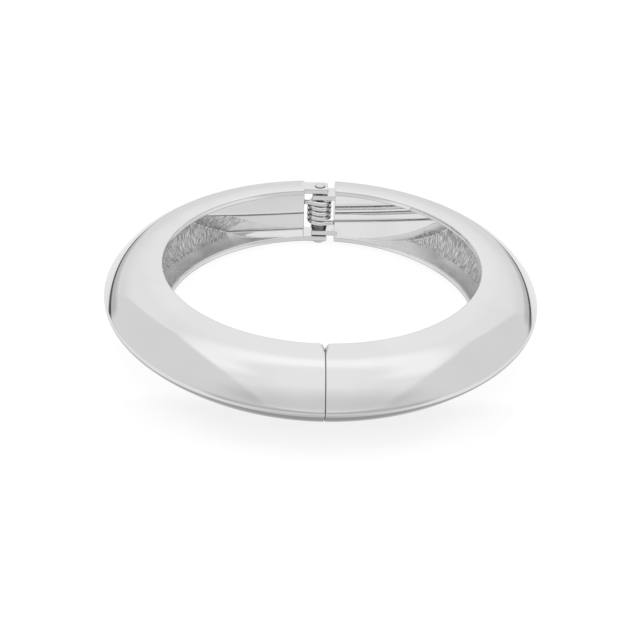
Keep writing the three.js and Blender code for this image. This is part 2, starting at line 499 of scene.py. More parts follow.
@dataclass(frozen=True)
class RingForm:
    """Oval ring with two flat rims, full faces and a rounded nose.

    A place in the section is a depth, outwards from the wrist opening, and a
    height above the middle of the ring.

    Attributes:
        outer: Plan radius at the nose.
        mid_z: Height of the middle of the ring.
        half_height: Half the height from rim to rim.
        half_x: Half the width of the wrist opening.
        half_y: Half its depth.
        rim_flat: Width of the flat on each rim.
        nose_lift: Height of the nose above the middle of the ring.
        nose_radius: Radius of the rounded nose.
        nose_tilt: Degrees from the nose's tip to where its round starts.
        lip: Thickness of the rims.
        edge: Radius of the lips' edges.
        nose_wall: Metal between the trough and the nose.
        trough_power: Power of the curve of the trough's wall.
    """

    outer: float
    mid_z: float
    half_height: float
    half_x: float = 29.6 * MM
    half_y: float = 28.5 * MM
    rim_flat: float = 1.2 * MM
    nose_lift: float = 0.6 * MM
    nose_radius: float = 1.3 * MM
    nose_tilt: float = 36.0
    lip: float = 1.2 * MM
    edge: float = 0.28 * MM
    nose_wall: float = 2.2 * MM
    trough_power: float = 2.4

    @property
    def depth(self) -> float:
        """Depth of the section beside the wrist."""
        return self.outer - self.half_x

    def opening(self, turn: np.ndarray) -> np.ndarray:
        """Radius of the wrist opening at a turn from the seam, in radians."""
        return 1.0 / np.hypot(np.sin(turn) / self.half_x, np.cos(turn) / self.half_y)

    def radius(self, depth: np.ndarray, turn: np.ndarray) -> np.ndarray:
        """Plan radius of a depth in the section at a turn from the seam."""
        opening = self.opening(turn)
        return opening + depth / self.depth * (self.outer - opening)

    def depth_of(self, radius: np.ndarray, turn: np.ndarray) -> np.ndarray:
        """Depth in the section of a plan radius at a turn from the seam."""
        opening = self.opening(turn)
        return (radius - opening) / (self.outer - opening) * self.depth

    def face_power(self, nose_depth: float, nose_height: float) -> float:
        """Power of the face's curve that meets the nose's round without a corner."""
        slope = math.tan(math.radians(90.0 - self.nose_tilt))
        return slope * (nose_depth - self.rim_flat) / (self.half_height - nose_height)

    def flank(self, lift: float, steps: int = 26) -> np.ndarray:
        """Outline from the tip of the nose up and in to the rim's inner edge.

        Args:
            lift: Height of the nose.
            steps: Steps up the face.

        Returns:
            The points.
        """
        tilt = math.radians(self.nose_tilt)
        nose_depth = self.depth - self.nose_radius * (1.0 - math.cos(tilt))
        nose_height = lift + self.nose_radius * math.sin(tilt)
        power = self.face_power(nose_depth, nose_height)
        share = np.sin(np.linspace(1.0, 0.0, steps + 1)[1:] * math.pi / 2.0) ** 0.8
        face = np.stack(
            [
                self.rim_flat + (nose_depth - self.rim_flat) * share,
                nose_height + (self.half_height - nose_height) * (1.0 - share**power),
            ],
            1,
        )
        nose = arc((self.depth - self.nose_radius, lift), self.nose_radius, 0.0, self.nose_tilt, 7)
        corner = arc((self.edge, self.half_height - self.edge), self.edge, 90.0, 180.0, 5)
        return np.concatenate([nose, face, corner])

    def outside(self) -> np.ndarray:
        """Outline from the lower rim's inner edge round the nose to the upper one's."""
        lower, upper = self.flank(-self.nose_lift), self.flank(self.nose_lift)
        return np.concatenate([lower[:0:-1] * (1.0, -1.0), upper])

    def trough(self, steps: int = 120) -> np.ndarray:
        """Outline of the trough, from its upper lip round to its lower lip.

        Args:
            steps: Steps from the deepest point to a lip.

        Returns:
            Depth and height of each point.
        """
        height = self.half_height - self.lip
        apex = self.depth - self.nose_wall
        share = np.sin(np.linspace(0.0, 1.0, steps + 1) * math.pi / 2.0)
        wall = np.stack([apex * share, height * (1.0 - share**self.trough_power)], 1)
        corner = arc((self.edge, height + self.edge), self.edge, 180.0, 270.0, 8)
        upper = np.concatenate([corner, wall[wall[:, 0] > 1.5 * self.edge]])
        return np.concatenate([upper, upper[-2::-1] * (1.0, -1.0)])


BARK_SEEDS = {Side.LEFT: 11, Side.RIGHT: 12}


class BarkRelief:
    """Height of the bark texture, worked out from seeded random lattices.

    Attributes:
        slant: How far the strokes lean along the ring.
        cells: Length along and across the ring of a coarse and of a fine cell.
        weights: How much each of the two counts.
    """

    slant = 0.5
    cells = ((0.46 * MM, 2.6 * MM), (0.31 * MM, 1.7 * MM))
    weights = (0.6, 0.4)

    def __init__(self, seed: int) -> None:
        """Draws the lattices from a seed."""
        source = np.random.default_rng(seed)
        self.lattices = [source.random((512, 64)) for _ in range(2)]

    def level(self, lattice: np.ndarray, run: np.ndarray, across: np.ndarray) -> np.ndarray:
        """Smoothly interpolated lattice values.

        Args:
            lattice: The random numbers.
            run: Place along the ring, in cells.
            across: Place across the trough, in cells.

        Returns:
            Values from 0 to 1.
        """
        col, row = np.floor(run).astype(int), np.floor(across).astype(int)
        along, over = smooth_step(run - col, 0.0, 1.0), smooth_step(across - row, 0.0, 1.0)
        wide, high = lattice.shape
        near, far = col % wide, (col + 1) % wide
        low, top = row % high, (row + 1) % high
        first = lattice[near, low] * (1.0 - along) + lattice[far, low] * along
        second = lattice[near, top] * (1.0 - along) + lattice[far, top] * along
        return first * (1.0 - over) + second * over

    def height(self, run: np.ndarray, across: np.ndarray) -> np.ndarray:
        """Relief at places given in metres, from 0 to 1.

        Args:
            run: Along the ring.
            across: Across the trough.

        Returns:
            The relief.
        """
        leaning = run + across * self.slant
        total = np.zeros_like(across)
        for lattice, cell, weight in zip(self.lattices, self.cells, self.weights):
            total = total + weight * self.level(lattice, leaning / cell[0], across / cell[1])
        return total


# ---- Mesh helpers --------------------------------------------------------------


def grid_faces(rows: int, columns: int) -> list[tuple[int, int, int, int]]:
    """Quads between rows of points, each row a closed loop.

    Args:
        rows: Number of rows.
        columns: Points in each row.

    Returns:
        The corners of each quad.
    """
    faces = []
    for row in range(rows - 1):
        for column in range(columns):
            after = (column + 1) % columns
            low, high = row * columns, (row + 1) * columns
            faces.append((low + column, low + after, high + after, high + column))
    return faces


def object_from(
    name: str, mesh_source: bmesh.types.BMesh, finishes: Sequence[Any]
) -> bpy.types.Object:
    """Makes a linked object from a bmesh, with its faces pointing out.

    Args:
        name: Name of the object.
        mesh_source: The bmesh, which is freed.
        finishes: Its materials, in slot order.

    Returns:
        The object.
    """
    bmesh.ops.recalc_face_normals(mesh_source, faces=mesh_source.faces)
    mesh = bpy.data.meshes.new(name)
    mesh_source.to_mesh(mesh)
    mesh_source.free()
    for finish in finishes:
        mesh.materials.append(finish)
    made = bpy.data.objects.new(name, mesh)
    bpy.context.scene.collection.objects.link(made)
    return made


def seat(piece: bpy.types.Object, body: str, slot: Slot, node: str) -> bpy.types.Object:
    """Gives a piece its body and hides the node that it stands for.

    Args:
        piece: The piece.
        body: The body that it rides on.
        slot: Not used.
        node: The node that it replaces.

    Returns:
        The piece.
    """
    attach(piece, body)
    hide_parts(node)
    LOG.info("%s: %d faces, rides on %s", piece.name, len(piece.data.polygons), body)
    return piece


def bridge(source: bmesh.types.BMesh, rings: Sequence[list[bmesh.types.BMVert]]) -> None:
    """Joins rings of points with smooth quads, each ring to the next.

    Args:
        source: The bmesh that holds the points.
        rings: Closed rings with the same number of points.
    """
    for low, high in zip(rings, rings[1:]):
        for here, after in zip(range(len(low)), [*range(1, len(low)), 0]):
            face = source.faces.new((low[here], low[after], high[after], high[here]))
            face.smooth = True


class Piece(ABC):
    """Something that is built as one visible piece of the bangle."""

    @abstractmethod
    def build(self, finishes: Finishes) -> bpy.types.Object:
        """Builds the piece, dresses it and seats it on its body."""


def soften(
    source: bmesh.types.BMesh, edges: Sequence[bmesh.types.BMEdge], width: float, steps: int
) -> None:
    """Rounds edges of a bmesh.

    Args:
        source: The bmesh.
        edges: The edges to round.
        width: Width of the round.
        steps: Its segments.
    """
    bmesh.ops.bevel(
        source, geom=list(edges), offset=width, segments=steps, affect="EDGES", profile=0.5
    )


# ---- Half shells ---------------------------------------------------------------


@dataclass(frozen=True)
class Groove:
    """Shallow groove along a block's face.

    Attributes:
        level: Its height above the ring's middle, near the hinge.
        depth: Its depth.
        half_width: Half its width.
    """

    level: float
    depth: float
    half_width: float

    @property
    def reach(self) -> float:
        """Half the width that the mesh's points follow."""
        return 1.2 * self.half_width

    @property
    def bed(self) -> float:
        """Half the width of the groove's bed that takes the painted shade."""
        return min(0.62 * self.half_width, 0.18 * MM)


@dataclass(frozen=True)
class BlockFace:
    """Face of the solid block beside the hinge, and how the casting meets it.

    Attributes:
        front: Y of its fold at the hinge's middle.
        tilt: Degrees that it turns towards the wrist along the ring.
        heights: Heights of its corners above the ring's middle, from low to high.
        setbacks: How far each corner lies back from the fold.
        grooves: Its shallow grooves.
        groove_rise: How steeply they climb away from the hinge.
        groove_start: How far from the hinge's middle they have their own heights.
        climb_limit: How far the mesh follows them up.
        bark_end: Turn in degrees where the bark ends, at the bark's peak height.
        bark_peak: Height where the bark comes nearest the hinge.
        bark_slope: Degrees that its end falls back per millimetre below and above the peak.
        bark_ceiling: Height on the block that the bark does not climb past.
    """

    front: float
    tilt: float
    heights: tuple[float, ...]
    setbacks: tuple[float, ...]
    grooves: tuple[Groove, ...] = ()
    groove_rise: float = 0.108
    groove_start: float = 3.5 * MM
    climb_limit: float = 2.0 * MM
    bark_end: float = 155.5
    bark_peak: float = -0.6 * MM
    bark_slope: tuple[float, float] = (2.3, 4.5)
    bark_ceiling: float = 0.7 * MM

    def radius(self, turn: np.ndarray, height: np.ndarray) -> np.ndarray:
        """Plan radius at which the face is met.

        Args:
            turn: Turn from the seam, in radians.
            height: Height above the middle of the ring.

        Returns:
            The radius, very large where a ray from the axis misses the face.
        """
        front = self.front + np.interp(height, self.heights, self.setbacks)
        for groove in self.grooves:
            off = height - groove.level - self.climb(turn)
            front = front + groove.depth * np.exp(-((off / groove.half_width) ** 2))
        slant = -np.cos(turn) + np.sin(turn) * math.tan(math.radians(self.tilt))
        return np.where(slant > GRAZING, front / np.maximum(slant, GRAZING), FAR)

    def climb(self, turn: np.ndarray) -> np.ndarray:
        """How far the grooves have climbed at a turn from the seam."""
        away = self.front * np.tan(np.clip(math.pi - turn, 0.0, 1.2))
        return self.groove_rise * (away - self.groove_start)

    def knots(self, turn: float, top: float, count: int) -> list[tuple[int, float]]:
        """Points of a trough outline that follow the edges of the grooves.

        Args:
            turn: Turn of the outline from the seam, in radians.
            top: Height of the outline's ends above and below the middle.
            count: Points in the outline.

        Returns:
            Each point's number and height, from high to low.
        """
        found = []
        climb = min(float(self.climb(turn)), self.climb_limit)
        for groove in sorted(self.grooves, key=lambda item: item.level, reverse=True):
            for height in (groove.level + groove.reach, groove.level - groove.reach):
                number = round((top - height) / (2.0 * top) * (count - 1))
                found.append((number, height + climb))
        return found

    def tarnish(self, turn: float, height: np.ndarray) -> np.ndarray:
        """Which points lie in the bed of a groove and take the painted shade, 0 or 1.

        Args:
            turn: Turn from the seam, in radians.
            height: Height above the middle of the ring.

        Returns:
            The shares.
        """
        # Painted shade mask: 1 in the bed of each groove.
        dull = np.zeros_like(height)
        for groove in self.grooves:
            off = height - groove.level - self.climb(turn)
            dull = np.maximum(dull, np.abs(off) < groove.bed)
        return dull

    def bark_share(self, turn: float, height: np.ndarray) -> np.ndarray:
        """How much bark there is beside the block, from 0 to 1.

        Args:
            turn: Turn from the seam, in radians.
            height: Height above the middle of the ring.

        Returns:
            The shares.
        """
        away = (height - self.bark_peak) / MM
        fall = np.where(away < 0.0, -away * self.bark_slope[0], away * self.bark_slope[1])
        place = math.degrees(turn) + fall
        return 1.0 - smooth_step(place, self.bark_end - 0.3, self.bark_end + 0.3)


@dataclass
class HalfShell(Piece):
    """One cast half of the ring: skin, trough, end block and closed front end.

    Attributes:
        side: Which half it is.
        form: Form of the ring.
        block: Face of its end block.
        leg_hole: Y and Z of the spring leg's hole in the end face.
        seam_gap: Gap from the seam's middle to the end face.
        hinge_gap: Gap from the hinge's middle to the end face.
        end_wall: Thickness of the wall that closes the front end.
        seam_edge: Radius of the front end's edges.
        hinge_edge: Radius of the hinge end's edges.
        notch: Radius of the front end's edges at the rims.
        rows: Steps along the ring.
        across: Points across the trough.
        bark_depth: Depth in the section where the bark starts.
        relief: Depth of the bark.
        hole_radius: Radius of the spring leg's hole.
        hole_depth: Its depth.
        notch_depth: Depth in the section over which the rounder rim edges fade out.
        block_bark: Depth in the section where the bark starts on the block.
        wall_top: Height above which the satin wall is left out.
        contact: How near to the block's face a point counts as on it.
        bark_bed: Share of the bark's depth that lies below the trough's own surface.
    """

    side: Side
    form: RingForm
    block: BlockFace
    leg_hole: tuple[float, float]
    seam_gap: float = 0.035 * MM
    hinge_gap: float = 3.3 * MM
    end_wall: float = 1.6 * MM
    seam_edge: float = 0.18 * MM
    hinge_edge: float = 0.16 * MM
    notch: float = 1.2 * MM
    rows: int = 560
    across: int = 130
    bark_depth: float = 3.4 * MM
    relief: float = 0.14 * MM
    hole_radius: float = 0.75 * MM
    hole_depth: float = 2.2 * MM
    notch_depth: float = 3.6 * MM
    block_bark: float = 1.5 * MM
    wall_top: float = -3.65 * MM
    contact: float = 0.06 * MM
    bark_bed: float = 0.2

    def run_length(self) -> float:
        """Length of the half along the middle of the section."""
        return math.pi * (self.form.outer + self.form.half_x) / 2.0

    def stations(self) -> np.ndarray:
        """Places the rows, closer together near the ends.

        Returns:
            Distance of each row from the front end.
        """
        length = self.run_length()
        close = np.array([0.0, 0.015, 0.04, 0.075, 0.12, 0.2, 0.3, 0.45, 0.6, 0.8, 1.0, 1.25]) * MM
        wall = np.array([self.end_wall - 0.02 * MM, self.end_wall + 0.02 * MM])
        middle = np.linspace(self.end_wall + 0.2 * MM, length - 1.5 * MM, self.rows)
        return np.concatenate([close, wall, middle, length - close[::-1]])

    def inset(self, station: float, depth: np.ndarray) -> np.ndarray:
        """How far the rounded end edges draw the surface in at a row.

        Args:
            station: The row's distance from the front end.
            depth: Depth of each point in the section.

        Returns:
            The distance that each point moves in.
        """
        rim = 1.0 - smooth_step(depth, 0.0, self.notch_depth)
        front = self.seam_edge + (self.notch - self.seam_edge) * rim
        total = np.zeros_like(depth)
        for radius, along in ((front, station), (self.hinge_edge, self.run_length() - station)):
            missing = np.clip(radius - along, 0.0, None)
            total = total + radius - np.sqrt(np.maximum(radius**2 - missing**2, 0.0))
        return total

    def block_depth(self, outline: np.ndarray, turn: float) -> np.ndarray:
        """Depth of the block's face at the height of each point of an outline."""
        turns = np.full(len(outline), turn)
        return self.form.depth_of(self.block.radius(turns, outline[:, 1]), turns)

    def hollow(self, trough: np.ndarray, turn: float, closed: bool) -> np.ndarray:
        """The trough's outline at a row, cut off by the end block or the end wall.

        Args:
            trough: The whole trough's outline.
            turn: The row's turn from the seam.
            closed: Whether the end wall fills the row.

        Returns:
            The outline, with the mesh's points, which follow the block's grooves.
        """
        line = trough.copy()
        limit = np.maximum(self.block_depth(line, turn), 0.0)
        line[:, 0] = np.minimum(line[:, 0], 0.0 if closed else limit)
        return resampled(line, self.across, self.block.knots(turn, line[0, 1], self.across))

    def wall_kinds(self, outline: np.ndarray, turn: float) -> tuple[np.ndarray, np.ndarray]:
        """Which finish each point of a trough outline has.

        Args:
            outline: Depth and height of each point.
            turn: The row's turn from the seam.

        Returns:
            The share of bark, and the share of satin wall.
        """
        room = self.block_depth(outline, turn) - outline[:, 0]
        deep = smooth_step(outline[:, 0], self.bark_depth, self.bark_depth + 0.3 * MM)
        high = smooth_step(outline[:, 1], self.wall_top - 0.1 * MM, self.wall_top + 0.1 * MM)
        free = smooth_step(room, self.contact - 0.04 * MM, self.contact + 0.04 * MM)
        on_block = smooth_step(outline[:, 0], self.block_bark, self.block_bark + 0.5 * MM)
        on_block = on_block * (1.0 - free) * (outline[:, 1] < self.block.bark_ceiling)
        bark = self.block.bark_share(turn, outline[:, 1]) * np.maximum(deep * free, on_block)
        wall = (1.0 - deep) * (1.0 - high) * free
        return bark, wall

    def section(self, outside: np.ndarray, hollow: np.ndarray, station: float) -> np.ndarray:
        """One closed row of the section, with its end edges rounded.

        Args:
            outside: Outline of the outside.
            hollow: Outline of the trough at the row.
            station: The row's distance from the front end.

        Returns:
            Depth and height of each point.
        """
        loop = np.concatenate([outside, hollow])
        ahead, behind = np.roll(loop, -1, axis=0), np.roll(loop, 1, axis=0)
        tangent = ahead - behind
        normal = np.stack([tangent[:, 1], -tangent[:, 0]], 1)
        normal /= np.maximum(np.linalg.norm(normal, axis=1, keepdims=True), 1e-9)
        return loop - normal * self.inset(station, loop[:, 0])[:, None]

    def place(self, section: np.ndarray, station: float) -> np.ndarray:
        """Puts a row in space, so that the end rows lie in flat end faces.

        Args:
            section: Depth and height of each point.
            station: The row's distance from the front end.

        Returns:
            The points.
        """
        share = station / self.run_length()
        radius = self.form.radius(section[:, 0], np.full(len(section), math.pi))
        start = np.arcsin(self.seam_gap / radius)
        end = math.pi - np.arcsin(self.hinge_gap / radius)
        turn = start + share * (end - start)
        radius = self.form.radius(section[:, 0], turn)
        x = radius * np.sin(turn)
        if share == 0.0:
            x = np.full_like(x, self.seam_gap)
        elif share == 1.0:
            x = np.full_like(x, self.hinge_gap)
        sign = self.side.value
        return np.stack([sign * x, -radius * np.cos(turn), self.form.mid_z + section[:, 1]], 1)

    def surface(self) -> tuple[np.ndarray, np.ndarray, np.ndarray]:
        """All rows of the shell.

        Returns:
            The points by row, their shares of bark, satin wall, block facet and groove with
            painted shade, and their lengths along the ring and across the trough.
        """
        outside, trough = self.form.outside(), self.form.trough()
        bark = BarkRelief(BARK_SEEDS[self.side])
        skin = np.zeros(len(outside))
        points, kinds, runs = [], [], []
        for station in self.stations():
            turn = station / self.run_length() * math.pi
            closed = station < self.end_wall
            hollow = self.hollow(trough, turn, closed)
            share, wall = self.wall_kinds(hollow, turn)
            if closed:
                share, wall = np.zeros(self.across), np.zeros(self.across)
            steps = np.linalg.norm(np.diff(hollow, axis=0), axis=1)
            across = np.concatenate([[0.0], np.cumsum(steps)])
            height = bark.height(np.full(self.across, station), across)
            slope = np.gradient(hollow, axis=0)
            inward = np.stack([slope[:, 1], -slope[:, 0]], 1)
            inward /= np.maximum(np.linalg.norm(inward, axis=1, keepdims=True), 1e-9)
            hollow = hollow - inward * (self.relief * share * (height - self.bark_bed))[:, None]
            section = self.section(outside, hollow, station)
            points.append(self.place(section, station))
            flush = self.block_face_share(hollow, turn)
            # Painted shade: the grooves' beds on the block facets take the dark groove finish.
            dull = self.block.tarnish(turn, hollow[:, 1]) * flush
            parts = (share, wall, flush * (1.0 - dull), dull)
            kinds.append(np.stack([np.concatenate([skin, part]) for part in parts], 1))
            reach = np.concatenate([skin, across])
            runs.append(np.stack([np.full(len(section), station), reach], 1))
        return np.array(points), np.array(kinds), np.array(runs)

    def block_face_share(self, outline: np.ndarray, turn: float) -> np.ndarray:
        """Finds the points of a trough outline on the block's upper two facets.

        Args:
            outline: Depth and height of each point.
            turn: Angle round the ring.

        Returns:
            1 for a point on the facets, 0 for any other.
        """
        room = self.block_depth(outline, turn) - outline[:, 0]
        touching = (room < self.contact) & (outline[:, 1] > self.block.heights[1])
        return (touching & (turn > math.pi / 2.0)).astype(float)

    def cap(self, source: bmesh.types.BMesh, loop: list[bmesh.types.BMVert]) -> None:
        """Closes the front end with a flat face.

        Args:
            source: The shell's bmesh.
            loop: The end row.
        """
        face = source.faces.new(loop)
        face.material_index = Coat.WALL
        face.smooth = False
        for edge in face.edges:
            edge.smooth = False

    def bored_cap(self, source: bmesh.types.BMesh, loop: list[bmesh.types.BMVert]) -> None:
        """Closes the hinge end with a flat face that has the spring leg's blind hole.

        Args:
            source: The shell's bmesh.
            loop: The end row.
        """
        x = self.side.value * self.hinge_gap
        y, z = self.leg_hole
        ring = arc((y, z), self.hole_radius, 0.0, 360.0, 24)[:-1]
        mouth = [source.verts.new((x, *place)) for place in ring]
        inner = x + self.side.value * self.hole_depth
        floor = [source.verts.new((inner, *place)) for place in ring]
        rim = [source.edges.get((a, b)) for a, b in zip(loop, loop[1:] + loop[:1])]
        lip = [source.edges.new((a, b)) for a, b in zip(mouth, mouth[1:] + mouth[:1])]
        filled = bmesh.ops.triangle_fill(source, edges=rim + lip, use_beauty=True)
        for item in filled["geom"]:
            if isinstance(item, bmesh.types.BMFace):
                item.smooth = False
        for edge in rim + lip:
            edge.smooth = False
        bridge(source, [floor, mouth])
        source.faces.new(floor)

    def build(self, finishes: Finishes) -> bpy.types.Object:
        """Builds the shell and seats it.

        Args:
            finishes: The shared finishes.

        Returns:
            The shell.
        """
        points, kinds, runs = self.surface()
        rows, columns = kinds.shape[:2]
        source = bmesh.new()
        verts = [source.verts.new(place) for place in points.reshape(-1, 3)]
        source.verts.ensure_lookup_table()
        layer = source.loops.layers.uv.new("run")
        kind, run = kinds.reshape(-1, 4), runs.reshape(-1, 2)
        for corners in grid_faces(rows, columns):
            face = source.faces.new([verts[index] for index in corners])
            face.smooth = True
            shares = kind[list(corners)].mean(axis=0)
            coated = shares.max() > 0.5
            face.material_index = int(shares.argmax()) + Coat.BARK if coated else Coat.SKIN
            for loop, index in zip(face.loops, corners):
                loop[layer].uv = run[index]
        self.cap(source, verts[:columns][::-1])
        self.bored_cap(source, verts[-columns:])
        block = finishes.block if self.side is Side.LEFT else finishes.mirror
        coats = {
            Coat.SKIN: finishes.shell,
            Coat.BARK: finishes.bark,
            Coat.WALL: finishes.wall,
            Coat.BLOCK: block,
            Coat.TARNISH: finishes.tarnish,
        }
        order = [coats[coat] for coat in Coat]
        piece = object_from(f"{self.side.word}_half_shell", source, order)
        return seat(piece, self.side.body, Slot.SHELL, f"{self.side.word}_shell")


# ---- Hinge ---------------------------------------------------------------------


def round_pin(axis_y: float, radius: float, turn: float, z: float) -> tuple[float, float, float]:
    """Place at a radius and turn from the hinge's axis, and at a height."""
    return radius * math.cos(turn), axis_y + radius * math.sin(turn), z


@dataclass
class HingeLeaf(Piece):
    """Flat plate from an end block across the pin: an ear or a knuckle.

    Attributes:
        name: Name of the piece.
        side: The half that it is part of.
        axis_y: Y of the hinge's axis.
        bottom: Height of its lower face.
        thickness: Its thickness.
        tip: How far it reaches past the axis.
        front: Front edge to the axis.
        back: Back edge to the axis.
        root: Where it starts inside its end block.
        corner: Radius of its far corners.
        hole: Radius of the bore.
        edge: Radius of its edges.
    """

    name: str
    side: Side
    axis_y: float
    bottom: float
    thickness: float = 1.15 * MM
    tip: float = 1.75 * MM
    front: float = 2.25 * MM
    back: float = 2.35 * MM
    root: float = 4.2 * MM
    corner: float = 0.7 * MM
    hole: float = 1.08 * MM
    edge: float = 0.16 * MM

    def outline(self) -> np.ndarray:
        """Draws the plan outline for a half on the right.

        Returns:
            X and Y of each point, from the front root corner.
        """
        low, high = self.axis_y - self.front, self.axis_y + self.back
        small = 0.35 * self.corner
        near = arc((small - self.tip, low + small), small, 270.0, 180.0, 5)
        far = arc((self.corner - self.tip, high - self.corner), self.corner, 180.0, 90.0, 6)
        root = np.array([[self.root, low], [self.root, high]])
        return np.concatenate([root[:1], near, far, root[1:]])

    def build(self, finishes: Finishes) -> bpy.types.Object:
        """Builds the leaf and seats it.

        Args:
            finishes: The shared finishes.

        Returns:
            The leaf.
        """
        sign = self.side.value
        source = bmesh.new()
        loops = [self.outline(), arc((0.0, self.axis_y), self.hole, 0.0, 360.0, 28)[:-1]]
        edges = []
        for loop in loops:
            verts = [source.verts.new((sign * x, y, self.bottom)) for x, y in loop]
            edges += [source.edges.new((a, b)) for a, b in zip(verts, verts[1:] + verts[:1])]
        bmesh.ops.triangle_fill(source, edges=edges, use_beauty=True)
        lower = list(source.faces)
        raised = bmesh.ops.extrude_face_region(source, geom=lower, use_keep_orig=True)
        moved = [item for item in raised["geom"] if isinstance(item, bmesh.types.BMVert)]
        bmesh.ops.translate(source, verts=moved, vec=(0.0, 0.0, self.thickness))
        bmesh.ops.recalc_face_normals(source, faces=source.faces)
        rims = [edge for edge in source.edges if edge.calc_face_angle(0.0) > math.radians(60.0)]
        soften(source, rims, self.edge, 3)
        for face in source.faces:
            face.smooth = abs(face.normal.z) < 0.99
        piece = object_from(self.name, source, [finishes.shell])
        return seat(piece, self.side.body, Slot.SHELL, f"{self.side.word}_shell")


@dataclass
class HingePin(Piece):
    """Rivet with a round head below and a small peened end above.

    Attributes:
        axis_y: Y of the hinge's axis.
        bottom: Its lowest point.
        top: Its highest point.
        ear_bottom: Lower face of the lower ear.
        ear_top: Upper face of the upper ear.
        shaft: Radius of the shaft.
        head: Radius of the head.
        peen: Radius of the peened end.
        dents: Depth of the hammer marks on the peened end.
    """

    axis_y: float
    bottom: float
    top: float
    ear_bottom: float
    ear_top: float
    shaft: float = 0.94 * MM
    head: float = 1.6 * MM
    peen: float = 1.0 * MM
    dents: float = 0.03 * MM

    def profile(self) -> np.ndarray:
        """Draws half of the pin's lengthwise section.

        Returns:
            Radius and height, from the lowest point to the highest.
        """
        side = self.ear_bottom - self.bottom
        turns = np.radians(np.linspace(0.0, 90.0, 10))
        corner = 0.55 * side
        inner = 0.5 * (self.head - corner)
        flat = np.array([[0.0, self.bottom], [inner, self.bottom + 0.01 * MM]])
        round_edge = np.stack(
            [
                self.head - corner * (1.0 - np.sin(turns)),
                self.bottom + 0.02 * MM + corner * (1.0 - np.cos(turns)),
            ],
            1,
        )
        head = np.concatenate([flat, round_edge])
        rim = np.array(
            [
                [self.head, self.ear_bottom - 0.02 * MM],
                [self.head - 0.03 * MM, self.ear_bottom],
                [self.shaft, self.ear_bottom],
                [self.shaft, self.ear_top],
                [self.peen - 0.02 * MM, self.ear_top],
                [self.peen, self.ear_top + 0.04 * MM],
            ]
        )
        rise = self.top - self.ear_top - 0.04 * MM
        dome = np.stack(
            [self.peen * np.cos(turns[1:]), self.ear_top + 0.04 * MM + rise * np.sin(turns[1:])], 1
        )
        dome[-1, 0] = 0.0
        return np.concatenate([head, rim, dome])

    def build(self, finishes: Finishes) -> bpy.types.Object:
        """Builds the pin and seats it.

        Args:
            finishes: The shared finishes.

        Returns:
            The pin.
        """
        profile = self.profile()
        turns = np.linspace(0.0, 2.0 * math.pi, 40, endpoint=False)
        source = bmesh.new()
        poles = [source.verts.new((0.0, self.axis_y, profile[end, 1])) for end in (0, -1)]
        rings = []
        for radius, z in profile[1:-1]:
            dent = self.dents * smooth_step(np.array(z - self.ear_top), 0.05 * MM, 0.3 * MM)
            lift = dent * np.sin(3.0 * turns + 0.7) * np.sin(2.0 * turns + radius / (0.2 * MM))
            ring = []
            for turn, drop in zip(turns, np.abs(lift)):
                ring.append(source.verts.new(round_pin(self.axis_y, radius, turn, z - drop)))
            rings.append(ring)
        bridge(source, rings)
        for pole, ring in zip(poles, (rings[0], rings[-1])):
            for index in range(len(turns)):
                source.faces.new((pole, ring[index], ring[(index + 1) % len(turns)]))
        for face in source.faces:
            face.smooth = True
        piece = object_from("hinge_rivet", source, [finishes.pin])
        return seat(piece, Side.LEFT.body, Slot.PIN, "hinge_pin")


@dataclass
class SpringSeat(Piece):
    """Rough cast collar on the lower knuckle, which the coil stands over.

    Attributes:
        axis_y: Y of the hinge's axis.
        bottom: Height of its foot.
        height: Its height.
        outer: Radius of its foot.
        bore: Radius of its bore.
        rough: How far its skin is uneven.
        sides: Points round it.
        seed: Seed of the unevenness.
    """

    axis_y: float
    bottom: float
    height: float = 0.95 * MM
    outer: float = 1.75 * MM
    bore: float = 1.17 * MM
    rough: float = 0.09 * MM
    sides: int = 72
    seed: int = 5

    def build(self, finishes: Finishes) -> bpy.types.Object:
        """Builds the collar and seats it.

        Args:
            finishes: The shared finishes.

        Returns:
            The collar.
        """
        chance = np.random.default_rng(self.seed)
        steps = np.linspace(0.0, 1.0, 9)
        outside = [(self.outer - 0.18 * MM * share, share) for share in steps]
        crown = [(self.outer - 0.34 * MM, 1.04), (self.bore + 0.1 * MM, 1.02)]
        inside = [(self.bore, 0.97), (self.bore, 0.0)]
        source = bmesh.new()
        rings = []
        for radius, share in outside + crown + inside:
            rough = self.rough if 0.0 < share and radius > self.bore else 0.0
            ring = []
            for corner in range(self.sides):
                turn = 2.0 * math.pi * corner / self.sides
                reach = radius + rough * (chance.random() - 0.5)
                z = self.bottom + self.height * share + rough * 0.5 * (chance.random() - 0.5)
                ring.append(source.verts.new(round_pin(self.axis_y, reach, turn, z)))
            rings.append(ring)
        bridge(source, rings + rings[:1])
        piece = object_from("spring_seat", source, [finishes.seat])
        return seat(piece, Side.RIGHT.body, Slot.SHELL, "right_shell")


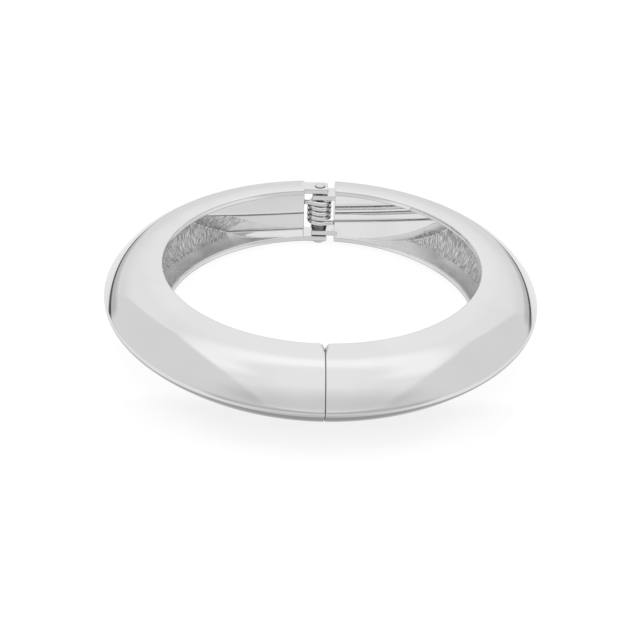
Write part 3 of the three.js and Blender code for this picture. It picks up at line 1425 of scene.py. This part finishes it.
@dataclass
class TorsionSpring(Piece):
    """Round wire coiled round the pin, with a straight leg in each half.

    Attributes:
        axis_y: Y of the hinge's axis.
        top: Height of the upper leg's middle line.
        pitch: Rise of one turn.
        turns: Whole turns of the coil.
        leg_angle: Degrees each side of the front where the legs leave.
        leg_length: Length of each leg.
        coil: Radius of the coil's middle line.
        wire: Radius of the wire.
        sides: Points round the wire.
        steps: Steps in each turn.
        tip_edge: Radius of the cut ends' edges.
    """

    axis_y: float
    top: float
    pitch: float = 1.16 * MM
    turns: int = 4
    leg_angle: float = 20.0
    leg_length: float = 4.6 * MM
    coil: float = 2.2 * MM
    wire: float = 0.5 * MM
    sides: int = 16
    steps: int = 56
    tip_edge: float = 0.08 * MM

    @property
    def sweep(self) -> float:
        """Whole turn of the coil, in radians."""
        return 2.0 * math.pi * self.turns + math.radians(2.0 * self.leg_angle)

    @property
    def bottom(self) -> float:
        """Height of the lower leg's middle line."""
        return self.top - self.pitch * self.sweep / (2.0 * math.pi)

    def end_frame(self, side: Side) -> tuple[Vector, Vector]:
        """Finds where a leg leaves the coil.

        Args:
            side: The half that the leg leans on.

        Returns:
            The place and the leg's direction.
        """
        angle = math.radians(-90.0 + side.value * self.leg_angle)
        z = self.top if side is Side.LEFT else self.bottom
        start = Vector(round_pin(self.axis_y, self.coil, angle, z))
        way = Vector((-math.sin(angle), math.cos(angle), 0.0)) * side.value
        return start, way

    def hole_place(self, side: Side, face_x: float) -> tuple[float, float]:
        """Finds where a leg's middle line meets an end face.

        Args:
            side: The half that the leg leans on.
            face_x: Distance of the end face from the middle plane.

        Returns:
            Y and Z of the place.
        """
        start, way = self.end_frame(side)
        share = (side.value * face_x - start.x) / way.x
        return start.y + way.y * share, start.z

    def line(self) -> list[Vector]:
        """Draws the middle line of the wire.

        Returns:
            Its points, from the upper leg's tip to the lower leg's.
        """
        count = round(self.steps * self.sweep / (2.0 * math.pi))
        first = math.radians(-90.0 - self.leg_angle)
        coil = []
        for step in range(count + 1):
            angle = first + self.sweep * step / count
            z = self.top + (self.bottom - self.top) * step / count
            coil.append(Vector(round_pin(self.axis_y, self.coil, angle, z)))
        legs = []
        for side in Side:
            start, way = self.end_frame(side)
            legs.append([start + way * (self.leg_length * part / 6) for part in range(1, 7)])
        return legs[0][::-1] + coil + legs[1]

    def build(self, finishes: Finishes) -> bpy.types.Object:
        """Builds the spring as one fixed piece between the two halves, riding on neither.

        Args:
            finishes: The shared finishes.

        Returns:
            The spring.
        """
        line = self.line()
        source = bmesh.new()
        rings = []
        for index, spot in enumerate(line):
            way = (line[min(index + 1, len(line) - 1)] - line[max(index - 1, 0)]).normalized()
            across = way.cross(Vector((0.0, 0.0, 1.0))).normalized()
            up = across.cross(way)
            ring = []
            for corner in range(self.sides):
                angle = 2.0 * math.pi * corner / self.sides
                offset = across * math.cos(angle) + up * math.sin(angle)
                ring.append(source.verts.new(spot + offset * self.wire))
            rings.append(ring)
        bridge(source, rings)
        for ring in (rings[0], rings[-1]):
            end = source.faces.new(ring)
            soften(source, end.edges, self.tip_edge, 2)
        piece = object_from("hinge_spring", source, [finishes.wire])
        self.top - self.wire
        self.bottom + self.wire
        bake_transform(piece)
        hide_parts("torsion_spring")
        LOG.info("%s: %d faces, twists between the halves", piece.name, len(piece.data.polygons))
        return piece


@dataclass
class Bangle:
    """The whole bracelet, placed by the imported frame.

    Attributes:
        finishes: The shared finishes.
        form: Form of the ring.
        axis_y: Y of the hinge's axis.
        spring: The torsion spring, whose legs place the shells' holes.
    """

    finishes: Finishes
    form: RingForm = field(init=False)
    axis_y: float = field(init=False)
    spring: TorsionSpring = field(init=False)

    def __post_init__(self) -> None:
        """Reads the ring's and the hinge's places from the frame."""
        low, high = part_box("right_shell")
        self.form = RingForm(
            outer=high.x, mid_z=(low.z + high.z) / 2.0, half_height=(high.z - low.z) / 2.0
        )
        self.axis_y = frame["record"]["behaviour"]["joints"][0]["pos_m"][1]
        wire = TorsionSpring.wire
        self.spring = TorsionSpring(axis_y=self.axis_y, top=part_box("torsion_spring")[1].z - wire)

    def build_shells(self) -> None:
        """Builds both half shells."""
        flush = self.form.half_y + 0.1 * MM
        blocks = {
            Side.LEFT: BlockFace(
                flush,
                3.0,
                heights=(-4.9 * MM, -3.9 * MM, 0.75 * MM, 6.1 * MM),
                setbacks=(0.1 * MM, 1.3 * MM, 0.0, 0.55 * MM),
                grooves=(
                    Groove(-3.7 * MM, 0.02 * MM, 0.25 * MM),
                    Groove(0.75 * MM, 0.03 * MM, 0.25 * MM),
                ),
                groove_rise=0.0,
            ),
            Side.RIGHT: BlockFace(
                flush,
                3.0,
                heights=(-6.1 * MM, -5.9 * MM, 1.0 * MM, 6.1 * MM),
                setbacks=(0.2 * MM, 0.2 * MM, 0.0, 0.4 * MM),
                grooves=(
                    Groove(-0.7 * MM, 0.085 * MM, 0.3 * MM),
                    Groove(1.3 * MM, 0.1 * MM, 0.36 * MM),
                    Groove(2.65 * MM, 0.17 * MM, 0.66 * MM),
                ),
                bark_end=155.0,
                bark_peak=-6.1 * MM,
                bark_slope=(0.0, 2.75),
                bark_ceiling=-1.5 * MM,
            ),
        }
        for side, block in blocks.items():
            hole = self.spring.hole_place(side, HalfShell.hinge_gap)
            HalfShell(side, self.form, block, hole).build(self.finishes)

    def build_hinge(self) -> None:
        """Builds the ears, the knuckles, the pin and the spring."""
        low, high = (self.form.mid_z + sign * self.form.half_height for sign in (-1, 1))
        ear = HingeLeaf.thickness
        knuckle = 1.1 * MM
        gap = 0.3 * MM
        hair = 0.015 * MM
        ears = (
            ("upper_ear", high - ear - hair, 1.65 * MM, 2.0 * MM),
            ("lower_ear", low + hair, 2.25 * MM, 2.35 * MM),
        )
        for name, bottom, front, back in ears:
            leaf = HingeLeaf(name, Side.LEFT, self.axis_y, bottom, front=front, back=back)
            leaf.build(self.finishes)
        knuckles = (
            ("upper_knuckle", high - ear - gap - knuckle, 1.9 * MM),
            ("lower_knuckle", low + ear + gap, 2.25 * MM),
        )
        for name, bottom, front in knuckles:
            leaf = HingeLeaf(name, Side.RIGHT, self.axis_y, bottom, front=front)
            leaf.thickness, leaf.tip = knuckle, 1.6 * MM
            leaf.build(self.finishes)
        seat_bottom = low + ear + gap + knuckle - hair
        SpringSeat(self.axis_y, seat_bottom).build(self.finishes)
        pin_low, pin_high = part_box("hinge_pin")
        HingePin(self.axis_y, pin_low.z, pin_high.z, low, high).build(self.finishes)
        self.spring.build(self.finishes)

    def build(self) -> None:
        """Builds every piece."""
        self.build_shells()
        self.build_hinge()


# ---- Studio --------------------------------------------------------------------


@dataclass
class Studio:
    """Pale floor, soft light and camera.

    Attributes:
        middle: Middle of the ring, which the camera is aimed from.
        azimuth: Degrees from looking along +Y.
        elevation: Degrees above the horizon.
        roll: Degrees that the camera is rolled.
        distance: Camera to the aim.
        aim: How far the aim lies right of and above the ring's middle.
        lens: Focal length in millimetres.
        floor_shade: How much of the floor's tone takes the soft shadow.
        floor_glow: How much of it doesn't.
        sheen: How strongly the floor mirrors the front of the ring.
        wash_size: Width of the overhead light.
        wash_power: Its power in watts.
    """

    middle: Vector
    azimuth: float = -2.06
    elevation: float = 33.07
    roll: float = 2.32
    distance: float = 183.6 * MM
    aim: tuple[float, float] = (0.03 * MM, -6.78 * MM)
    lens: float = 54.19
    floor_shade: float = 0.16
    floor_glow: float = 0.89
    sheen: float = 0.12
    wash_size: float = 0.9
    wash_power: float = 2.4

    def build_camera(self) -> None:
        """Sets up the camera."""
        turn, rise = math.radians(self.azimuth), math.radians(self.elevation)
        back = Vector(
            (math.sin(turn) * math.cos(rise), -math.cos(turn) * math.cos(rise), math.sin(rise))
        )
        right = (-back).cross(Vector((0.0, 0.0, 1.0))).normalized()
        up = right.cross(-back)
        aim = self.middle + right * self.aim[0] + up * self.aim[1]
        tilt = Quaternion(back, math.radians(self.roll)).to_matrix()
        axes = Matrix((tilt @ right, tilt @ up, back)).transposed()
        camera = bpy.data.objects.new("camera", bpy.data.cameras.new("camera"))
        camera.data.lens = self.lens
        camera.data.sensor_width = 36.0
        camera.data.clip_start = 0.001
        camera.matrix_world = Matrix.Translation(aim + back * self.distance) @ axes.to_4x4()
        bpy.context.scene.collection.objects.link(camera)
        bpy.context.scene.camera = camera

    def build_floor(self) -> None:
        """Makes the pale, faintly glossy floor."""
        material, web = new_material("pale_floor")
        side, depth, _ = web.parts(web.add("ShaderNodeTexCoord", None, None, "Object"))
        sheen = depth.between(-24.0 * MM, -30.0 * MM) * depth.between(-50.0 * MM, -32.0 * MM)
        sheen = sheen * side.most(side * -1.0).between(60.0 * MM, 30.0 * MM)
        shade = (self.floor_shade,) * 3 + (1.0,)
        white = {"Base Color": shade, "Roughness": 0.9, "Specular IOR Level": 0.0}
        glow = {"Emission Color": (1.0, 1.0, 1.0, 1.0), "Emission Strength": self.floor_glow}
        matt = web.add("ShaderNodeBsdfPrincipled", None, white | glow)
        gloss = web.add("ShaderNodeBsdfGlossy", None, {"Roughness": 0.12})
        shader = web.add("ShaderNodeMixShader", None, {0: sheen * self.sheen, 1: matt, 2: gloss})
        web.node("ShaderNodeOutputMaterial", None, {"Surface": shader})
        source = bmesh.new()
        bmesh.ops.create_grid(source, x_segments=1, y_segments=1, size=4.0)
        floor = object_from("floor", source, [material])
        floor.visible_glossy = False

    def build_world(self) -> None:
        """Makes the white tent round the set, lighter behind than in front."""
        world = bpy.data.worlds.new("tent")
        bpy.context.scene.world = world
        world.use_nodes = True
        web = NodeWeb(world.node_tree)
        side, ahead, rise = web.parts(web.add("ShaderNodeTexCoord", None, None, "Generated"))
        wide = (side * -1.0).most(side * 0.83)
        # The upper tent: a bright panel behind the set, with a brighter band and a dimmer foot.
        panel = ((ahead * 1.11).most(rise * 0.62) - wide).between(-0.05, 0.04)
        foot = rise.between(0.5, 0.2) * ahead.between(0.0, 0.3)
        band = rise.between(0.74, 0.87) * rise.between(0.975, 0.91) * ahead.between(-0.25, 0.0)
        middle = wide.between(0.35, 0.1) * rise.between(0.3, 0.5)
        upper = panel * (0.13 + middle * 0.05 + band * 0.16 - foot * 0.1) + 0.82
        # The dim front, lighter below, and a strip at the back corners.
        front = ahead.between(-0.3, -0.7)
        ridge = front * rise.between(0.66, 0.56)
        upper = upper - front * 0.24 + ridge * 0.12
        flank = wide.between(0.3, 0.42) * ahead.between(0.5, 0.6)
        upper = upper * (1.0 - rise.between(0.17, 0.06) * flank * 0.3)
        # The floor side: white, but dark straight below the ring.
        below = rise.between(-0.55, -0.99) * (0.5 - ahead.between(-0.2, -0.4) * 0.2)
        behind = rise.between(-0.3, -0.55) * ahead.between(0.0, 0.25) * 0.22
        lower = (0.95 - (below + behind)).most(0.34)
        # The thin dark line where the tent meets the floor, and the shade of the near edge.
        edge = rise.between(-0.07, -0.05) * rise.between(0.005, -0.01)
        line = edge * (flank * 0.5 + ahead.between(0.2, 0.4) * 0.4)
        hem = rise.between(0.5, 0.1) * 0.2 + rise.between(0.01, -0.01) * 0.22
        hem = hem - rise.between(-0.17, -0.25) * 0.23 + rise.between(-0.62, -0.72) * 0.25
        line = line + hem * ahead.between(-0.5, -0.7)
        above = rise.between(-0.01, 0.01)
        level = (upper * above + lower * (1.0 - above)) * (1.0 - line)
        colour = web.add("ShaderNodeCombineColor", None, {0: level, 1: level, 2: level * 1.005})
        light = web.add("ShaderNodeBackground", None, {"Color": colour, "Strength": 1.0})
        web.node("ShaderNodeOutputWorld", None, {"Surface": light})

    def build_wash(self) -> None:
        """Adds the soft overhead light that lifts the floor to white."""
        lamp = bpy.data.lights.new("wash", "AREA")
        lamp.shape = "DISK"
        lamp.size = self.wash_size
        lamp.energy = self.wash_power
        wash = bpy.data.objects.new("wash", lamp)
        wash.location = (0.0, 0.1, 1.1)
        wash.visible_glossy = False
        bpy.context.scene.collection.objects.link(wash)

    def build(self) -> None:
        """Builds the set."""
        self.build_camera()
        self.build_floor()
        self.build_world()
        self.build_wash()
        bpy.context.scene.view_settings.view_transform = "Standard"


def main() -> None:
    """Builds the bangle and its set."""
    logging.basicConfig(level=logging.INFO, format="%(name)s: %(message)s")
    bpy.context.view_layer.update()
    bangle = Bangle(Finishes.make())
    Studio(Vector((0.0, 0.0, bangle.form.mid_z))).build()
    bangle.build()


if __name__ == "__main__":
    main()
